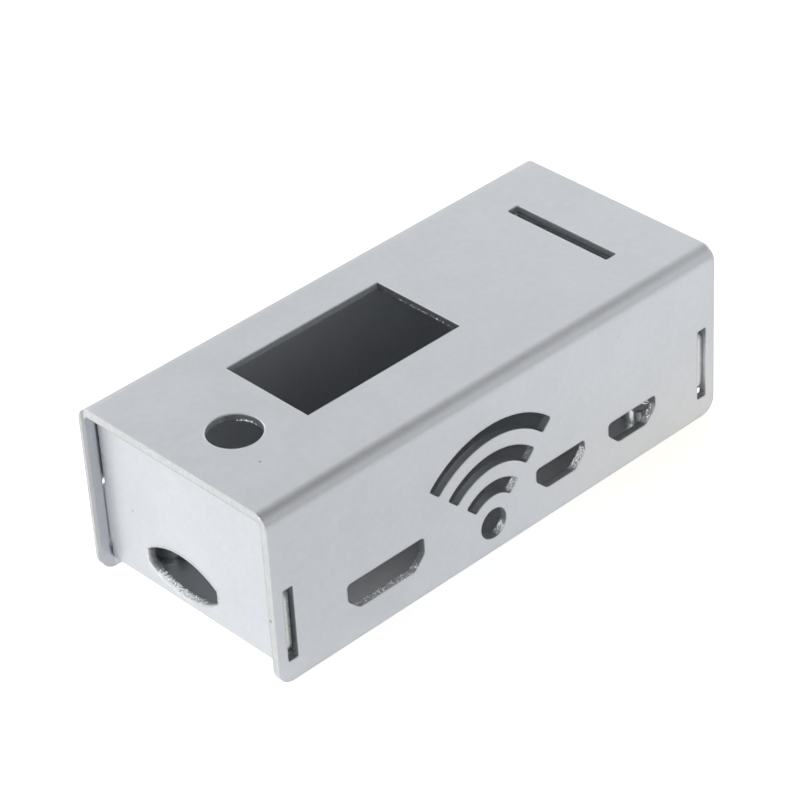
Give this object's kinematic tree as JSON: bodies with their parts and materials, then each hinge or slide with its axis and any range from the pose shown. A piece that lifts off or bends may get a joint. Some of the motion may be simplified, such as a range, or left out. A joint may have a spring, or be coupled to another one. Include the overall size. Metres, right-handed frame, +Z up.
{
  "type": "single-board computer case",
  "caption": "Folded aluminium case for a small circuit board: a cover with a display window, connector openings and wave-shaped vents snaps over a tray with threaded standoffs.",
  "frame": {"origin": "middle of the case's footprint, on the surface that the cover's side walls stand on", "axes": "+X along the length, from the memory-card end to the other end; the connector side faces -Y; +Z up"},
  "size_m": [0.0738, 0.0324, 0.024],
  "materials": {
    "cover_aluminium": "satin, finely blasted and clear anodised",
    "tray_aluminium": "satin, finely blasted and clear anodised",
    "standoff_steel": "turned, bright plated"
  },
  "bodies": {
    "root": {"cover": "cover_aluminium", "tray": "tray_aluminium", "standoff_1": "standoff_steel", "standoff_2": "standoff_steel", "standoff_3": "standoff_steel", "standoff_4": "standoff_steel"}
  },
  "joints": []
}
